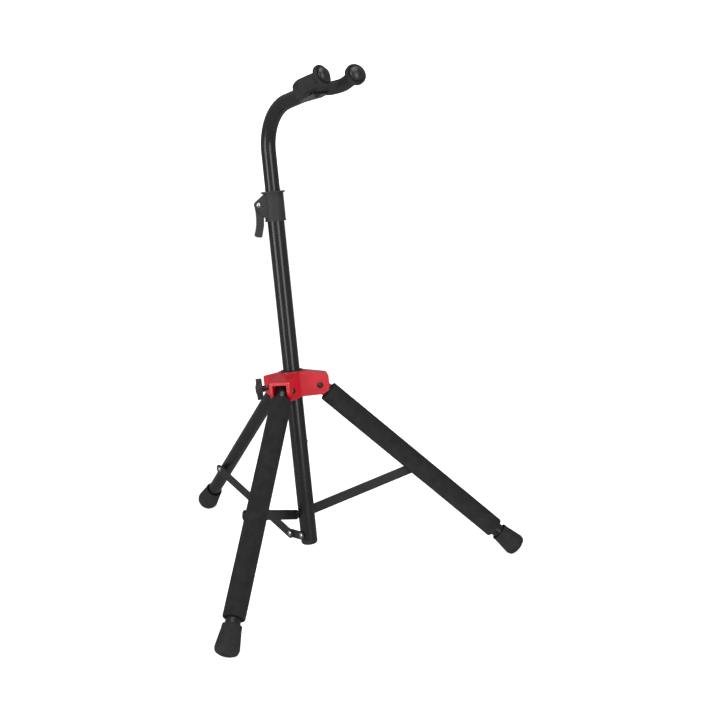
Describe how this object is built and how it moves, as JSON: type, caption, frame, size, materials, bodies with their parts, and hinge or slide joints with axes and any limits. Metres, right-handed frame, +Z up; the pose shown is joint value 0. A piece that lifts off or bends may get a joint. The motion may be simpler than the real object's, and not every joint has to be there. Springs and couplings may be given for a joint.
{
  "type": "guitar stand",
  "caption": "Folding hanging guitar stand with tripod legs, foam sleeves, telescopic mast, red hub and padded neck yoke.",
  "frame": {"origin": "floor level, middle of the stand's outline seen from above", "axes": "+Z up, the yoke and the two front legs face -Y, +X is the right-hand side seen from the front looking along +Y"},
  "size_m": [0.645, 0.5662, 0.8525],
  "materials": {
    "tube_paint": "gloss",
    "bar_paint": "satin",
    "red_paint": "gloss",
    "foam": "matte",
    "rubber": "matte",
    "black_plastic": "satin",
    "pale_plastic": "satin",
    "rivet_steel": "satin",
    "dark_steel": "satin",
    "spacer_steel": "satin"
  },
  "bodies": {
    "column": {"lower_column": "tube_paint", "column_end_cap": "black_plastic", "stop_rivet": "rivet_steel", "brace_spacers": "spacer_steel", "brace_pivot_rivets": "rivet_steel", "rear_lug": "bar_paint", "rear_lug_rivet": "rivet_steel", "clamp_collar": "black_plastic", "clamp_pin": "rivet_steel"},
    "lever": {"clamp_lever": "black_plastic"},
    "hub": {"leg_hub": "red_paint", "hub_bush": "black_plastic", "pivot_bolts": "dark_steel", "pivot_nuts": "dark_steel"},
    "knob": {"knob_handle": "black_plastic", "knob_stud": "dark_steel"},
    "mast_top": {"upper_tube": "tube_paint", "upper_tube_plug": "pale_plastic", "yoke_frame": "dark_steel", "yoke_bolt": "dark_steel", "yoke_pad": "foam", "prong_cap_left": "rubber", "prong_cap_right": "rubber"},
    "leg_left": {"leg_left": "tube_paint", "leg_plug_left": "black_plastic", "foot_left": "rubber", "brace_bush_left": "spacer_steel", "foam_left": "foam"},
    "brace_left": {"brace_left": "bar_paint", "brace_rivet_left": "rivet_steel"},
    "leg_right": {"leg_right": "tube_paint", "leg_plug_right": "black_plastic", "foot_right": "rubber", "brace_bush_right": "spacer_steel", "foam_right": "foam"},
    "brace_right": {"brace_right": "bar_paint", "brace_rivet_right": "rivet_steel"},
    "leg_rear": {"leg_rear": "tube_paint", "leg_plug_rear": "black_plastic", "foot_rear": "rubber", "brace_bush_rear": "spacer_steel"},
    "brace_rear": {"brace_rear": "bar_paint", "brace_rivet_rear": "rivet_steel"}
  },
  "joints": [
    {"name": "fold", "type": "slide", "parent": "column", "child": "hub", "axis": [0, 0.1504, 0.9886], "range_m": [0, 0.2143]},
    {"name": "height", "type": "slide", "parent": "column", "child": "mast_top", "axis": [0, 0.1504, 0.9886], "range_m": [0, 0.3]},
    {"name": "clamp_lever", "type": "hinge", "parent": "column", "child": "lever", "pos_m": [-0.02286, 0.03808, 0.61803], "axis": [0.5, 0.8562, -0.1302], "range_deg": [0, 150]},
    {"name": "hub_knob", "type": "hinge", "parent": "hub", "child": "knob", "pos_m": [0, -0.02175, 0.31256], "axis": [-0.866, 0.4943, -0.0752], "range_deg": [0, 360]},
    {"name": "leg_left_fold", "type": "hinge", "parent": "hub", "child": "leg_left", "pos_m": [-0.03787, -0.04608, 0.31424], "axis": [0.5402, -0.8319, 0.1266], "range_deg": [0, 41.1]},
    {"name": "leg_right_fold", "type": "hinge", "parent": "hub", "child": "leg_right", "pos_m": [0.03787, -0.04608, 0.31424], "axis": [0.5402, 0.8319, -0.1266], "range_deg": [0, 41.1]},
    {"name": "leg_rear_fold", "type": "hinge", "parent": "hub", "child": "leg_rear", "pos_m": [0, 0.02244, 0.30381], "axis": [-1, 0, 0], "range_deg": [0, 37.03]},
    {"name": "brace_left_fold", "type": "hinge", "parent": "column", "child": "brace_left", "pos_m": [0, -0.05634, 0.08517], "axis": [-0.5402, 0.8319, -0.1266], "range_deg": [0, 58.56]},
    {"name": "brace_right_fold", "type": "hinge", "parent": "column", "child": "brace_right", "pos_m": [0, -0.05634, 0.08517], "axis": [-0.5402, -0.8319, 0.1266], "range_deg": [0, 58.56]},
    {"name": "brace_rear_fold", "type": "hinge", "parent": "column", "child": "brace_rear", "pos_m": [0, -0.03179, 0.04705], "axis": [1, 0, 0], "range_deg": [0, 49.84]}
  ],
  "couplings": [
    {"joint": "leg_left_fold", "follows": "fold", "rad_per_m": 3.3456},
    {"joint": "leg_right_fold", "follows": "fold", "rad_per_m": 3.3456},
    {"joint": "leg_rear_fold", "follows": "fold", "rad_per_m": 3.0141},
    {"joint": "brace_left_fold", "follows": "fold", "rad_per_m": 4.7672},
    {"joint": "brace_right_fold", "follows": "fold", "rad_per_m": 4.7672},
    {"joint": "brace_rear_fold", "follows": "fold", "rad_per_m": 4.0574}
  ]
}
